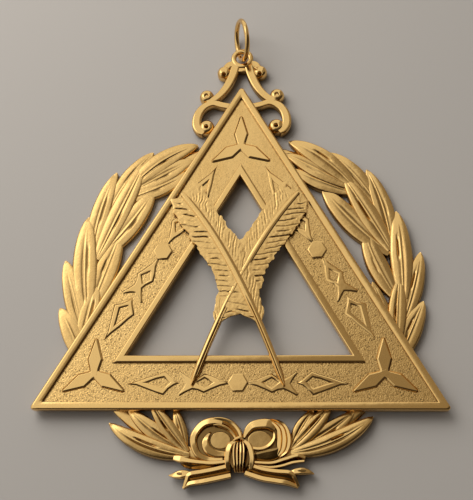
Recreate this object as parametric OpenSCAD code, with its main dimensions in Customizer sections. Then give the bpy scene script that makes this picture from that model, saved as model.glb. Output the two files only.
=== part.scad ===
// Collar jewel in gilded brass: an equal-sided triangle frame that carries crossed quill
// pens, in front of a laurel wreath tied with a ribbon bow, hung from a pierced scroll
// crest by a plain ring. It lies on its back: +Z comes out of its face and +Y points to
// the ring. The plan is drawn about the middle of the triangle, then moved so that the
// origin is under the middle of the whole jewel, on the surface that it lies on.

/* [Triangle] */
// Length of each outer side of the triangle
side = 85; // [76:1:96]
// Width of each bar, from the outer edge to the window
bar_w = 11.2; // [10:0.1:12.5]
// Thickness of the triangle at its raised borders
frame_t = 2.2; // [1.9:0.1:2.8]
// Depth of the sunk ground between the borders
relief = 0.9; // [0.6:0.05:1.1]
// Width of the raised outer border
outer_border_w = 1.55; // [1:0.05:2]
// Width of the raised inner border
inner_border_w = 1.5; // [1:0.05:2]
// Length cut off each outer corner
corner_cut = 0.9; // [0.3:0.1:2]

/* [Ornaments on the bars] */
// Distance from each outer corner to the middle of its star
star_inset = 15; // [13.5:0.1:16]
// Length of each petal of a star
petal_l = 7.4; // [5:0.1:8]
// Width of each petal of a star
petal_w = 3.3; // [2:0.1:3.6]
// Width of each hexagon across its corners
hexagon_w = 4.2; // [3:0.1:5]
// Length of the strapwork on each side of a hexagon
strapwork_l = 21; // [17:0.5:21.5]
// Width of the strapwork across the bar
strapwork_w = 4.4; // [3:0.1:5]
// Width of the raised strands and lozenge outlines
strand_w = 0.45; // [0.3:0.05:0.6]

/* [Crossed quills] */
// Width of the broader side of a feather
vane_w = 4.4; // [3.5:0.1:5]
// Width of a quill's shaft
shaft_w = 1.1; // [0.8:0.05:1.4]
// Thickness of a feather at its edge
vane_t = 0.55; // [0.4:0.05:0.8]
// Height of a shaft above the back of its feather
shaft_t = 1.2; // [0.9:0.05:1.5]
// Diameter of each pin that holds the quills
quill_pin_d = 1.2; // [0.8:0.1:1.6]

/* [Laurel wreath] */
// Thickness of the wreath's band, and of all that passes behind the triangle
band_t = 0.9; // [0.7:0.05:1.2]
// Width of the wreath's band
band_w = 2.6; // [2.4:0.1:3.2]
// Height of the wreath at the broadest leaf's rib
leaf_t = 2.1; // [1.5:0.1:2.6]
// Thickness of a leaf at its edge
leaf_edge_t = 0.75; // [0.5:0.05:1]
// Width of the broadest leaf
leaf_w = 5.6; // [4.5:0.1:6.5]
// Diameter of each rivet that holds the wreath, the bow and the crest
rivet_d = 1.6; // [1.2:0.1:1.8]

/* [Ribbon bow] */
// Width of the bow across both loops
bow_w = 21; // [18:0.5:24]
// Height of the bow's loops above its back
bow_t = 2; // [1.6:0.1:2.6]
// Height of the knot above its back
knot_t = 2.9; // [2.4:0.1:3.4]
// Width of the ribbon in the loops
ribbon_w = 2.1; // [1.6:0.1:2.4]
// Distance from the middle of the knot down to the lowest tail
tail_drop = 5.8; // [5:0.1:7]

/* [Scroll crest] */
// Height of the eye's centre above the top corner of the triangle
eye_rise = 7.4; // [7:0.1:8.5]
// Width of the crest across its widest scrolls
crest_w = 21.5; // [19:0.5:24]
// Thickness of the scrolls
crest_t = 2; // [1.7:0.1:2.4]
// Diameter of the hole in the eye
eye_hole_d = 2.7; // [2.5:0.1:2.8]
// Diameter of the eye outside
eye_d = 5.1; // [4.9:0.1:5.3]
// Thickness of the eye
eye_t = 1; // [0.8:0.1:1.1]

/* [Suspension ring] */
// Outer diameter of the ring
ring_od = 9.8; // [9.6:0.1:11.5]
// Diameter of the ring's wire
ring_wire_d = 1.1; // [0.9:0.05:1.2]
// Lean of the ring to the right as it stands in the eye
ring_lean = 15; // [0:1:18]
// Turn of the ring to the left as it stands in the eye
ring_turn = 12; // [-30:1:30]

/* [Fit] */
// Gap between pieces that seat on each other
fit_gap = 0.05; // [0.03:0.01:0.1]
// Gap between a pin or rivet and its hole, on each side
pin_gap = 0.05; // [0.03:0.01:0.1]

/* [Hidden] */

gilt = "#d9ad5c";
pin_gilt = "#b98c3f";

// Depth that a raised ornament is rooted in what carries it
root = 0.3;
// Run of a cut past the face that it opens
past = 1;
// Sides of the round bosses in the faceted pieces
boss_fn = 32;

// Distances from the middle of the triangle
corner_r = side / sqrt(3);
edge_r = corner_r / 2;
bar_mid_r = edge_r - bar_w / 2;
star_r = corner_r - star_inset;

// The wreath's band runs behind the stars, where the rivets are
band_r = star_r;

// Heights above the surface that the jewel lies on
frame_z = band_t + fit_gap;
face_z = frame_z + frame_t;
ground_z = face_z - relief;
quill_z = face_z + fit_gap;
bow_z = band_t + fit_gap;
crest_lap = 0.4;
crest_z = band_t - crest_lap;
eye_z = frame_z + frame_t / 2;
eye_y = corner_r + eye_rise;

// Height of each raised ornament above the ground
star_h = relief * 0.85;
hexagon_h = relief * 0.8;
strapwork_h = relief * 0.5;

// Distance that the crest's tongue keeps from the wreath's band, and its end from the
// inside of the triangle's top corner
tongue_clearance = 0.6;
tongue_setback = 1.5;

// Where the ring stands: on the surface, through the eye, leaning and turned
ring_r = (ring_od - ring_wire_d) / 2;
ring_z = ring_r * cos(ring_lean) + ring_wire_d / 2;
ring_up = (ring_z - eye_z) / cos(ring_lean);
// Shift of the ring's wire from the eye's middle towards the jewel, clear of the eye's rims
ring_shift = 0.15;
ring_out = sqrt(ring_r * ring_r - ring_up * ring_up) - ring_shift;

// Ends of the jewel, which place the origin
ring_facing_y = sin(ring_turn) * cos(ring_lean);
ring_centre_y = eye_y + ring_out * cos(ring_turn) + ring_up * sin(ring_lean) * sin(ring_turn);
top_y = ring_centre_y + ring_r * sqrt(1 - ring_facing_y * ring_facing_y) + ring_wire_d / 2;
bottom_y = -band_r - tail_drop;
middle_y = (top_y + bottom_y) / 2;

// A side bar's middle, where a quill's feather is pinned: distance along the bar from its hexagon
pin_along = side * 0.122;

// Columns of the leaf tables. Angles are in degrees from the knot round to the top. Reaches
// and sweeps are shares of the band's radius, breadths of the broadest leaf, and rises of
// the wreath's height.
ROOT_ANGLE = 0;
ROOT_REACH = 1;
TIP_ANGLE = 2;
TIP_REACH = 3;
BREADTH = 4;
SWEEP = 5;
RISE = 6;

LEFT_LEAVES = [
    [17, 1.00, 43.0, 0.96, 0.66, 0.02, 0.80],
    [17, 1.00, 38.5, 0.84, 0.60, 0.01, 0.90],
    [18, 0.98, 28.0, 0.80, 0.48, 0.00, 0.80],
    [16, 1.02, 44.0, 1.10, 0.68, 0.04, 1.00],
    [72, 0.97, 93.0, 0.81, 0.64, 0.00, 0.70],
    [66, 1.04, 86.0, 1.12, 0.80, -0.01, 0.85],
    [72, 1.02, 95.5, 0.90, 0.80, 0.00, 0.90],
    [74, 0.99, 102.0, 1.13, 0.84, 0.00, 0.85],
    [83, 0.95, 118.5, 1.11, 1.00, 0.02, 1.00],
    [86, 0.92, 118.5, 0.87, 0.90, 0.00, 0.85],
    [104, 0.97, 136.0, 1.17, 0.78, 0.03, 0.85],
    [105, 0.94, 145.5, 1.11, 0.84, 0.00, 1.00],
    [106, 0.93, 142.0, 0.91, 0.92, -0.02, 0.85],
    [126, 1.03, 149.5, 1.14, 0.74, 0.02, 0.80],
    [132, 0.98, 158.0, 0.90, 0.80, -0.01, 0.80],
    [137, 0.99, 161.5, 0.98, 0.76, 0.00, 0.90],
    [136, 1.02, 164.5, 1.07, 0.84, 0.04, 1.00],
];

RIGHT_LEAVES = [
    [18, 1.00, 43.5, 0.99, 0.66, 0.02, 0.80],
    [18, 0.99, 39.5, 0.87, 0.62, 0.01, 0.90],
    [19, 0.98, 32.0, 0.84, 0.54, -0.01, 0.80],
    [18, 1.01, 46.5, 1.09, 0.72, 0.04, 1.00],
    [66, 1.04, 87.5, 1.12, 0.80, 0.00, 0.85],
    [76, 0.95, 95.5, 0.82, 0.50, 0.00, 0.70],
    [80, 1.01, 103.5, 1.15, 0.74, 0.01, 0.80],
    [88, 0.97, 118.0, 0.88, 0.82, -0.02, 0.85],
    [88, 1.00, 119.0, 1.12, 0.88, 0.01, 1.00],
    [70, 1.01, 96.0, 0.99, 0.72, -0.01, 1.00],
    [106, 0.98, 136.0, 1.16, 0.78, 0.03, 0.85],
    [107, 0.98, 139.5, 1.02, 0.82, 0.00, 1.00],
    [106, 0.97, 143.5, 0.88, 0.94, -0.02, 0.85],
    [125, 1.05, 149.0, 1.12, 0.74, 0.02, 0.80],
    [134, 0.98, 158.5, 0.91, 0.74, -0.01, 0.80],
    [136, 1.00, 163.5, 1.00, 0.72, 0.00, 0.90],
    [136, 1.02, 163.5, 1.09, 0.84, 0.03, 1.00],
];

// Stations along a leaf: share of its length, of its breadth and of its rise
LEAF_FORM = [
    [0.00, 0.40, 0.45],
    [0.24, 0.84, 0.85],
    [0.50, 1.00, 1.00],
    [0.76, 0.78, 0.90],
    [0.93, 0.36, 0.65],
    [1.00, 0.08, 0.45],
];

// Share of the way along at which the shaft has passed the inner border and starts to dip
dip_at = 0.925;

// Columns of the quill table: share of the way from the feather's end to the nib, and the
// widths of the inner and outer vane as shares of vane_w
ALONG = 0;
INNER = 1;
OUTER = 2;

QUILL_FORM = [
    [0.00, 0.80, 0.62],
    [0.03, 1.00, 0.86],
    [0.14, 0.84, 0.98],
    [0.30, 0.80, 1.02],
    [0.40, 0.84, 0.96],
    [0.48, 0.92, 0.94],
    [0.58, 0.74, 1.20],
    [0.66, 0.58, 1.10],
    [0.73, 0.38, 0.30],
    [0.76, 0.13, 0.13],
];

// Sections of a quill's shaft: share of the way along, and width as a share of shaft_w
SHAFT_FORM = [
    [0.00, 0.50],
    [0.04, 0.85],
    [0.24, 1.00],
    [0.48, 1.00],
    [0.66, 1.00],
    [0.80, 1.00],
    [dip_at, 0.95],
    [0.97, 0.80],
    [1.00, 0.30],
];

// Half of a star's petal in plan: share of its length, and half width as a share of petal_w
PETAL_FORM = [
    [-0.06, 0.12],
    [0.16, 0.30],
    [0.42, 0.50],
    [0.64, 0.38],
    [0.84, 0.18],
    [1.00, 0.00],
];
// Width of the slope round a petal's flat top
petal_flank = 0.6;

// Raised barbs of a feather: shares of the way along at the shaft
BARBS = [for (share = [0.07:0.06:0.62]) share];
// Stretch of the shaft of the quill behind that the quill in front covers, and the shares
// past which that quill also covers its inner and outer barbs
COVERED_SHAFT = [0.48, 0.66];
COVERED_BARBS = [0.40, 0.56];
// How much higher the feather in front stands
front_lift = 0.18;

// Ends and middle of a quill's shaft in plan, as shares of the triangle's side
FEATHER_END = [-0.148, 0.261];
SHAFT_BEND = [-0.012, 0.109];
NIB_END = [0.110, -0.231];

// Columns of the loop table: centre and half widths as shares of bow_w, from the knot
LOOPS = [
    [0.262, 0.180, 0.222, 0.188],
    [-0.222, 0.172, 0.250, 0.190],
];

// Columns of the tail table: root, bend and tip across and down, and the width. What is
// across is a share of bow_w, down a share of tail_drop, and the width of the ribbon's
TAILS = [
    [-0.10, 0.14, -0.34, 0.08, -0.60, 0.06, 0.80],
    [-0.10, 0.36, -0.34, 0.38, -0.64, 0.52, 0.90],
    [-0.08, 0.58, -0.32, 0.66, -0.49, 0.90, 0.84],
    [0.10, 0.16, 0.36, 0.24, 0.62, -0.02, 0.80],
    [0.10, 0.36, 0.38, 0.54, 0.70, 0.46, 0.90],
    [0.08, 0.58, 0.34, 0.72, 0.55, 0.88, 0.84],
];
TAIL_FORM = [
    [0.00, 0.70],
    [0.35, 0.95],
    [0.85, 1.05],
    [0.96, 0.85],
    [1.00, 0.40],
];

// Scrolls of the crest's right half, as centre lines. What is across is a share of crest_w,
// and up a share of eye_rise from the triangle's top corner. The third column is the
// stroke's width as a share of stroke_w
stroke_w = 1.4;
STEM = [
    [0.062, 0.82, 1.10],
    [0.100, 0.42, 1.00],
    [0.160, 0.02, 0.90],
    [0.245, -0.30, 0.95],
    [0.325, -0.44, 0.95],
    [0.385, -0.30, 0.80],
];
ARM = [
    [0.030, -0.72, 0.80],
    [0.190, -0.60, 0.80],
    [0.300, -0.52, 0.75],
    [0.395, -0.66, 0.85],
    [0.455, -0.92, 1.00],
    [0.470, -1.24, 1.05],
    [0.440, -1.45, 0.90],
    [0.395, -1.56, 0.50],
];
SHOULDER = [
    [0.070, 0.78, 1.20],
    [0.130, 0.78, 1.10],
    [0.180, 0.62, 1.00],
];
// Volutes of the crest's right half: centre across and up as above, and radius as a share
// of stroke_w
VOLUTES = [
    [0.190, 0.55, 1.10],
    [0.370, -0.28, 1.14],
    [0.362, -1.33, 1.24],
];
// Bevel along the top edges of the scrolls, and its height
scroll_bevel = 0.22;
scroll_bevel_h = 0.4;
// Points that each stretch between two rows of a scroll is smoothed with
smooth_steps = 4;

function unit(v) = v / norm(v);
function left_of(v) = [-v.y, v.x];
function turned(v, a) = [v.x * cos(a) - v.y * sin(a), v.x * sin(a) + v.y * cos(a)];
function mix(a, b, t) = a + (b - a) * t;

// A quadratic curve from a to c, pulled towards b, and its direction
function curve(a, b, c, t) = (1 - t) * (1 - t) * a + 2 * t * (1 - t) * b + t * t * c;
function curve_way(a, b, c, t) = unit(2 * (1 - t) * (b - a) + 2 * t * (c - b));

// A smooth line through rows of numbers, in every column alike
function smooth_between(a, b, c, d, t) =
    0.5 * ((2 * b) + (c - a) * t + (2 * a - 5 * b + 4 * c - d) * t * t
           + (3 * b - a - 3 * c + d) * t * t * t);
function smooth(rows) = [
    for (i = [0:len(rows) - 2], k = [0:smooth_steps - 1])
        smooth_between(rows[max(i - 1, 0)], rows[i], rows[i + 1],
                       rows[min(i + 2, len(rows) - 1)], k / smooth_steps),
    rows[len(rows) - 1]
];

// Outline of an equal-sided triangle at distance r from the middle to each edge
function triangle_at(r) = [for (k = [0:2]) turned([0, 2 * r], 120 * k)];

// A triangle whose corners are cut off by a length
function blunt_triangle(r, cut) = [
    for (k = [0:2], end = [-1, 1])
        turned([0, 2 * r], 120 * k) + turned(cut * [end * -0.5, -sqrt(3) / 2], 120 * k)
];

// Outline of a stroke of changing width along points: rows are x, y and half width
function stroke_outline(rows) =
    let (
        n = len(rows) - 1,
        way = [for (i = [0:n])
            left_of(unit([rows[min(i + 1, n)].x - rows[max(i - 1, 0)].x,
                          rows[min(i + 1, n)].y - rows[max(i - 1, 0)].y]))]
    )
    concat(
        [for (i = [0:n]) [rows[i].x, rows[i].y] + way[i] * rows[i].z],
        [for (i = [n:-1:0]) [rows[i].x, rows[i].y] - way[i] * rows[i].z]
    );

// Puts a child drawn about the triangle's middle where the jewel lies
module placed() {
    translate([0, -middle_y, 0]) children();
}

module three_ways() {
    for (k = [0:2]) rotate(120 * k) children();
}

module both_ways() {
    children();
    mirror([1, 0, 0]) children();
}

// The upright section across a form at point p that runs towards direction way, with a flat
// foot, its edges at one height and its crown at another
function section(p, way, left_w, right_w, foot, edge, crown) =
    let (left_p = p + left_of(way) * left_w, right_p = p - left_of(way) * right_w)
    [[left_p.x, left_p.y, foot], [left_p.x, left_p.y, edge], [p.x, p.y, crown],
     [right_p.x, right_p.y, edge], [right_p.x, right_p.y, foot]];

// A form along a row of sections, closed into a loop or with flat ends
module form(sections, looped = false) {
    n = len(sections[0]);
    count = len(sections);
    polyhedron(
        points = [for (row = sections, p = row) p],
        faces = concat(
            [for (i = [0:count - (looped ? 1 : 2)], j = [0:n - 1])
                let (a = i * n, b = (i + 1) % count * n, k = (j + 1) % n)
                each [[a + j, b + j, b + k], [a + j, b + k, a + k]]],
            looped ? [] : [[for (j = [0:n - 1]) j],
                           [for (j = [n - 1:-1:0]) (count - 1) * n + j]]
        )
    );
}

// A straight ridge from one section to another
module ridge(a, b) {
    hull() form([a, b]);
}

// Triangle frame

// What the wreath and crest behind must leave free, from the band's height up
module frame_room() {
    translate([0, 0, band_t])
        linear_extrude(height = frame_t + leaf_t)
            polygon(triangle_at(edge_r + 2 * fit_gap));
}

module frame_plate() {
    translate([0, 0, frame_z])
        linear_extrude(height = frame_t)
            difference() {
                polygon(blunt_triangle(edge_r, corner_cut));
                polygon(triangle_at(edge_r - bar_w));
            }
}

module ground_cut() {
    translate([0, 0, ground_z])
        linear_extrude(height = relief + past)
            difference() {
                polygon(triangle_at(edge_r - outer_border_w));
                polygon(triangle_at(edge_r - bar_w + inner_border_w));
            }
}

// One petal of a star: a flat top with sloping flanks
module petal() {
    half = [for (row = PETAL_FORM) [row.x * petal_l, row.y * petal_w]];
    outline = concat([for (p = half) [p.x, -p.y]],
                     [for (i = [len(half) - 2:-1:0]) half[i]]);
    top_share = 1 - 2 * petal_flank / petal_w;
    top = [for (p = outline) [p.x * (1 - petal_flank / petal_l), p.y * top_share]];
    n = len(outline);
    polyhedron(
        points = concat(
            [for (p = outline) [p.x, p.y, -root]],
            [for (p = outline) [p.x, p.y, star_h * 0.4]],
            [for (p = top) [p.x, p.y, star_h]]
        ),
        faces = concat(
            [[for (i = [0:n - 1]) i]],
            [for (level = [0, 1], i = [0:n - 1])
                let (a = level * n + i, b = level * n + (i + 1) % n)
                each [[a, a + n, b + n], [a, b + n, b]]],
            [[for (i = [n - 1:-1:0]) 2 * n + i]]
        )
    );
}

module star() {
    translate([0, star_r, ground_z])
        for (k = [0:2]) rotate(90 + 120 * k) petal();
}

module hexagon() {
    translate([0, -bar_mid_r, ground_z - root])
        cylinder(h = root + hexagon_h, d = hexagon_w, $fn = 6);
}

// Strapwork on one side of the hexagon of the lower bar: a pointed oval of two strands that
// cross and flare, then a lozenge with a sunk heart and a long tail towards the star
module strapwork() {
    start = hexagon_w / 2 - strand_w;
    run = strapwork_l;
    across = strapwork_w / 2;
    half = strand_w / 2;
    strand = [
        [start, 0, half],
        [start + 0.11 * run, 0.20 * across, half],
        [start + 0.24 * run, 0.70 * across, half],
        [start + 0.38 * run, 0, half],
        [start + 0.52 * run, -across, half * 0.6],
    ];
    waist = start + 0.66 * run;
    tail = start + run;
    nose = start + 0.50 * run;
    translate([0, -bar_mid_r, ground_z - root])
        linear_extrude(height = root + strapwork_h) {
            for (hand = [-1, 1])
                scale([1, hand]) polygon(stroke_outline(strand));
            difference() {
                polygon([[nose, 0], [waist, -across * 0.95], [tail, 0],
                         [waist, across * 0.95]]);
                polygon([[nose + 3 * strand_w, 0], [waist, -across * 0.42],
                         [waist + 3 * strand_w, 0], [waist, across * 0.42]]);
            }
        }
}

module rivet_hole(p, d, top) {
    translate([p.x, p.y, -past])
        cylinder(h = past + top, d = d + 2 * pin_gap, $fn = boss_fn);
}

// Tops of the blind holes that the rivets and pins reach into
wreath_rivet_top_z = frame_z + (frame_t - relief) * 0.75;
crest_rivet_p = [0, band_r + band_w / 2 + tongue_clearance + rivet_d];
quill_pin_top_z = quill_z + vane_t * 0.6;
quill_pin_p = [for (hand = [-1, 1]) turned([0, -bar_mid_r], hand * 120)
               + turned([pin_along, 0], hand * 120) * hand];
wreath_rivet_p = [turned([0, star_r], 120), turned([0, star_r], -120), [0, star_r]];
bow_rivet_p = [0, -band_r];

module triangle_frame() {
    color(gilt) placed() difference() {
        union() {
            difference() {
                frame_plate();
                ground_cut();
            }
            three_ways() {
                star();
                hexagon();
                strapwork();
                mirror([1, 0, 0]) strapwork();
            }
        }
        for (p = wreath_rivet_p) rivet_hole(p, rivet_d, wreath_rivet_top_z + pin_gap);
        rivet_hole(crest_rivet_p, rivet_d, wreath_rivet_top_z + pin_gap);
        for (p = quill_pin_p) rivet_hole(p, quill_pin_d, face_z + past);
    }
}

// Crossed quills

function quill_at(t) = side * curve(FEATHER_END, SHAFT_BEND, NIB_END, t);
function quill_way(t) = curve_way(FEATHER_END, SHAFT_BEND, NIB_END, t);

// Height of a quill's back: on the borders, then down on to the strapwork at the nib
nib_z = ground_z + strapwork_h + fit_gap;
function quill_foot(t) = t < dip_at ? quill_z : mix(quill_z, nib_z, (t - dip_at) / (1 - dip_at));

function feather_section(row, lift) =
    section(quill_at(row[ALONG]), quill_way(row[ALONG]),
            row[INNER] * vane_w, row[OUTER] * vane_w,
            quill_z, quill_z + vane_t + lift, quill_z + vane_t * 1.35 + lift);

function shaft_section(t, share, lift) =
    section(quill_at(t), quill_way(t), share * shaft_w / 2, share * shaft_w / 2,
            quill_foot(t), quill_foot(t) + shaft_t * 0.62, quill_foot(t) + shaft_t + lift);

// A raised barb from the shaft out to a vane's edge, sloping back towards the feather's end
module barb(t, hand, lift) {
    reach = (hand > 0 ? 0.76 : 0.9) * vane_w;
    from = quill_at(t);
    to = quill_at(t - 0.05) + left_of(quill_way(t)) * hand * reach;
    way = unit(to - from);
    top = quill_z + vane_t + lift;
    foot = quill_z + vane_t / 2;
    ridge(section(from, way, strand_w / 2, strand_w / 2, foot, top + 0.05, top + vane_t * 0.9),
          section(to, way, strand_w / 4, strand_w / 4, foot, top - vane_t * 0.2,
                  top + vane_t * 0.25));
}

module quill(in_front) {
    lift = in_front ? front_lift : 0;
    form([for (row = QUILL_FORM) feather_section(row, lift)]);
    for (part = in_front ? [[0, 1]] : [[0, COVERED_SHAFT[0]], [COVERED_SHAFT[1], 1]])
        form([for (row = SHAFT_FORM)
            if (row[0] >= part[0] && row[0] <= part[1]) shaft_section(row[0], row[1], lift)]);
    for (t = BARBS, side_i = [0, 1])
        if (in_front || t < COVERED_BARBS[side_i]) barb(t, 1 - 2 * side_i, lift);
}

module crossed_quills() {
    color(gilt) placed() difference() {
        union() {
            quill(true);
            mirror([1, 0, 0]) quill(false);
        }
        for (p = quill_pin_p) rivet_hole(p, quill_pin_d, quill_pin_top_z + pin_gap);
    }
}

// Laurel wreath

function on_wreath(hand, angle, reach) = band_r * reach * [hand * sin(angle), -cos(angle)];

module leaf(hand, row) {
    from = on_wreath(hand, row[ROOT_ANGLE], row[ROOT_REACH]);
    to = on_wreath(hand, row[TIP_ANGLE], row[TIP_REACH]);
    outward = left_of(unit(to - from)) * -hand;
    bend = (from + to) / 2 + outward * 2 * row[SWEEP] * band_r;
    half = row[BREADTH] * leaf_w / 2;
    crown = row[RISE] * leaf_t;
    sections = [for (station = LEAF_FORM)
        section(curve(from, bend, to, station.x), curve_way(from, bend, to, station.x),
                half * station.y, half * station.y,
                0, leaf_edge_t, max(crown * station.z, leaf_edge_t * 1.1))];
    for (i = [0:len(sections) - 2]) ridge(sections[i], sections[i + 1]);
}

module wreath_band() {
    difference() {
        cylinder(h = band_t, r = band_r + band_w / 2, $fn = 96);
        translate([0, 0, -past])
            cylinder(h = band_t + 2 * past, r = band_r - band_w / 2, $fn = 96);
    }
}

// What the leaves must leave free for the bow, from the band's height up
module bow_room() {
    translate([0, -band_r, band_t])
        for (row = LOOPS)
            translate([row[0] * bow_w, row[1] * bow_w, 0])
                scale([row[2] * bow_w + 3 * fit_gap, row[3] * bow_w + 3 * fit_gap, 1])
                    cylinder(h = bow_t + leaf_t, r = 1, $fn = 48);
}

module laurel_wreath() {
    color(gilt) placed() difference() {
        union() {
            wreath_band();
            for (row = LEFT_LEAVES) leaf(-1, row);
            for (row = RIGHT_LEAVES) leaf(1, row);
        }
        frame_room();
        bow_room();
        for (p = concat(wreath_rivet_p, [bow_rivet_p])) rivet_hole(p, rivet_d, band_t + past);
    }
}

// Ribbon bow

// One loop: a raised ribbon round a sunk floor
module bow_loop(row) {
    centre = [row[0], row[1]] * bow_w;
    rx = row[2] * bow_w - ribbon_w / 2;
    ry = row[3] * bow_w - ribbon_w / 2;
    steps = 16;
    translate([centre.x, centre.y, 0])
        form([for (k = [0:steps - 1])
            let (a = k * 360 / steps)
            section([rx * cos(a), ry * sin(a)], unit([-rx * sin(a), ry * cos(a)]),
                    ribbon_w / 2, ribbon_w / 2, 0, bow_t * 0.55, bow_t)], looped = true);
    translate([centre.x, centre.y, bow_t * 0.1])
        linear_extrude(height = bow_t * 0.25)
            polygon([for (k = [0:steps - 1])
                let (a = k * 360 / steps)
                [(rx - ribbon_w / 4) * cos(a), (ry - ribbon_w / 4) * sin(a)]]);
}

module bow_tail(row) {
    from = [row[0] * bow_w, -row[1] * tail_drop];
    bend = [row[2] * bow_w, -row[3] * tail_drop];
    to = [row[4] * bow_w, -row[5] * tail_drop];
    half = row[6] * ribbon_w / 2;
    form([for (station = TAIL_FORM)
        section(curve(from, bend, to, station.x), curve_way(from, bend, to, station.x),
                half * station.y, half * station.y, 0, bow_t * 0.4, bow_t * 0.75)]);
}

// The knot: four upright pleats that bulge in the middle
module bow_knot() {
    pleats = 4;
    knot_w = 0.25 * bow_w;
    top = 0.185 * bow_w;
    low = -0.14 * bow_w;
    for (k = [0:pleats - 1]) {
        x = (k - (pleats - 1) / 2) * knot_w / pleats;
        half = knot_w / pleats * 0.56;
        foot = bow_t * 0.2;
        middle = section([x, 0], [0, 1], half, half, foot, knot_t * 0.7, knot_t);
        ridge(section([x * 0.7, top], [0, 1], half * 0.7, half * 0.7,
                      foot, knot_t * 0.5, knot_t * 0.7), middle);
        ridge(section([x * 0.85, low], [0, 1], half * 0.8, half * 0.8,
                      foot, knot_t * 0.4, knot_t * 0.6), middle);
    }
}

module ribbon_bow() {
    color(gilt) placed() difference() {
        translate([0, -band_r, bow_z]) {
            for (row = LOOPS) bow_loop(row);
            for (row = TAILS) bow_tail(row);
            bow_knot();
        }
        rivet_hole(bow_rivet_p, rivet_d, bow_rivet_top_z + pin_gap);
    }
}
bow_rivet_top_z = bow_z + knot_t * 0.4;

// Scroll crest

function crest_rows(rows, trim) = [
    for (row = smooth(rows))
        [row.x * crest_w, corner_r + row.y * eye_rise, row.z * stroke_w / 2 - trim]
];

module crest_plan(trim) {
    for (rows = [STEM, ARM, SHOULDER]) polygon(stroke_outline(crest_rows(rows, trim)));
    for (row = VOLUTES)
        translate([row.x * crest_w, corner_r + row.y * eye_rise])
            circle(r = row.z * stroke_w - trim, $fn = 48);
}

// A layer of the scrolls, clear of the triangle's edge and of the hole in the eye
module crest_layer(low, high, trim) {
    translate([0, 0, low])
        linear_extrude(height = high - low)
            difference() {
                both_ways() crest_plan(trim);
                polygon(triangle_at(edge_r + 2 * fit_gap));
                translate([0, eye_y]) circle(d = eye_d - 2 * root, $fn = 64);
            }
}

// The hidden tongue behind the triangle's top corner, on which the scrolls are carried
module crest_tongue() {
    low = band_r + band_w / 2 + tongue_clearance;
    high = corner_r - 2 * outer_border_w - tongue_setback;
    linear_extrude(height = band_t)
        intersection() {
            polygon(triangle_at(edge_r - outer_border_w));
            translate([-side / 2, low]) square([side, high - low]);
        }
    translate([0, 0, crest_z])
        linear_extrude(height = crest_lap)
            both_ways() crest_plan(0);
}

// The eye, turned about its own hole
module crest_eye() {
    chamfer = 0.28;
    translate([0, eye_y, eye_z])
        rotate_extrude($fn = 96)
            polygon([
                [eye_hole_d / 2, -eye_t / 2 + chamfer],
                [eye_hole_d / 2 + chamfer, -eye_t / 2],
                [eye_d / 2 - chamfer, -eye_t / 2],
                [eye_d / 2, -eye_t / 2 + chamfer],
                [eye_d / 2, eye_t / 2 - chamfer],
                [eye_d / 2 - chamfer, eye_t / 2],
                [eye_hole_d / 2 + chamfer, eye_t / 2],
                [eye_hole_d / 2, eye_t / 2 - chamfer],
            ]);
}

module scroll_crest() {
    crest_top = crest_z + crest_t;
    pit_d = 0.7;
    color(gilt) placed() difference() {
        union() {
            crest_tongue();
            crest_layer(band_t, crest_top - scroll_bevel_h, 0);
            crest_layer(crest_top - scroll_bevel_h, crest_top, scroll_bevel);
            crest_eye();
        }
        rivet_hole(crest_rivet_p, rivet_d, band_t + past);
        for (row = VOLUTES, hand = [-1, 1])
            translate([hand * row.x * crest_w, corner_r + row.y * eye_rise, crest_top - pit_d])
                cylinder(h = pit_d + past, d = pit_d, $fn = boss_fn);
    }
}

// Suspension ring

module suspension_ring() {
    color(gilt) placed()
        translate([0, eye_y, eye_z])
            rotate([0, 0, ring_turn])
                translate([ring_up * sin(ring_lean), ring_out, ring_up * cos(ring_lean)])
                    rotate([0, 90 + ring_lean, 0])
                        rotate_extrude($fn = 96)
                            translate([ring_r, 0])
                                circle(d = ring_wire_d, $fn = 48);
}

// Rivets and pins

module rivet(p, d, top) {
    color(pin_gilt) placed()
        translate([p.x, p.y, 0])
            cylinder(h = top, d = d, $fn = boss_fn);
}

module quill_pin(p) {
    color(pin_gilt) placed()
        translate([p.x, p.y, frame_z])
            cylinder(h = quill_pin_top_z - frame_z, d = quill_pin_d, $fn = boss_fn);
}

triangle_frame();
crossed_quills();
laurel_wreath();
ribbon_bow();
scroll_crest();
suspension_ring();
rivet(wreath_rivet_p[0], rivet_d, wreath_rivet_top_z);  // wreath_rivet_left
rivet(wreath_rivet_p[1], rivet_d, wreath_rivet_top_z);  // wreath_rivet_right
rivet(wreath_rivet_p[2], rivet_d, wreath_rivet_top_z);  // wreath_rivet_top
rivet(bow_rivet_p, rivet_d, bow_rivet_top_z);  // bow_rivet
rivet(crest_rivet_p, rivet_d, wreath_rivet_top_z);  // crest_rivet
quill_pin(quill_pin_p[0]);  // quill_pin_left
quill_pin(quill_pin_p[1]);  // quill_pin_right
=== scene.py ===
"""Looks of a gilt collar jewel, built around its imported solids.

Lengths are in millimetres, about the middle of the triangle and above the surface that the
jewel lies on, until add_piece() puts a mesh into the shared frame in metres.
"""

import math

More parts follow.
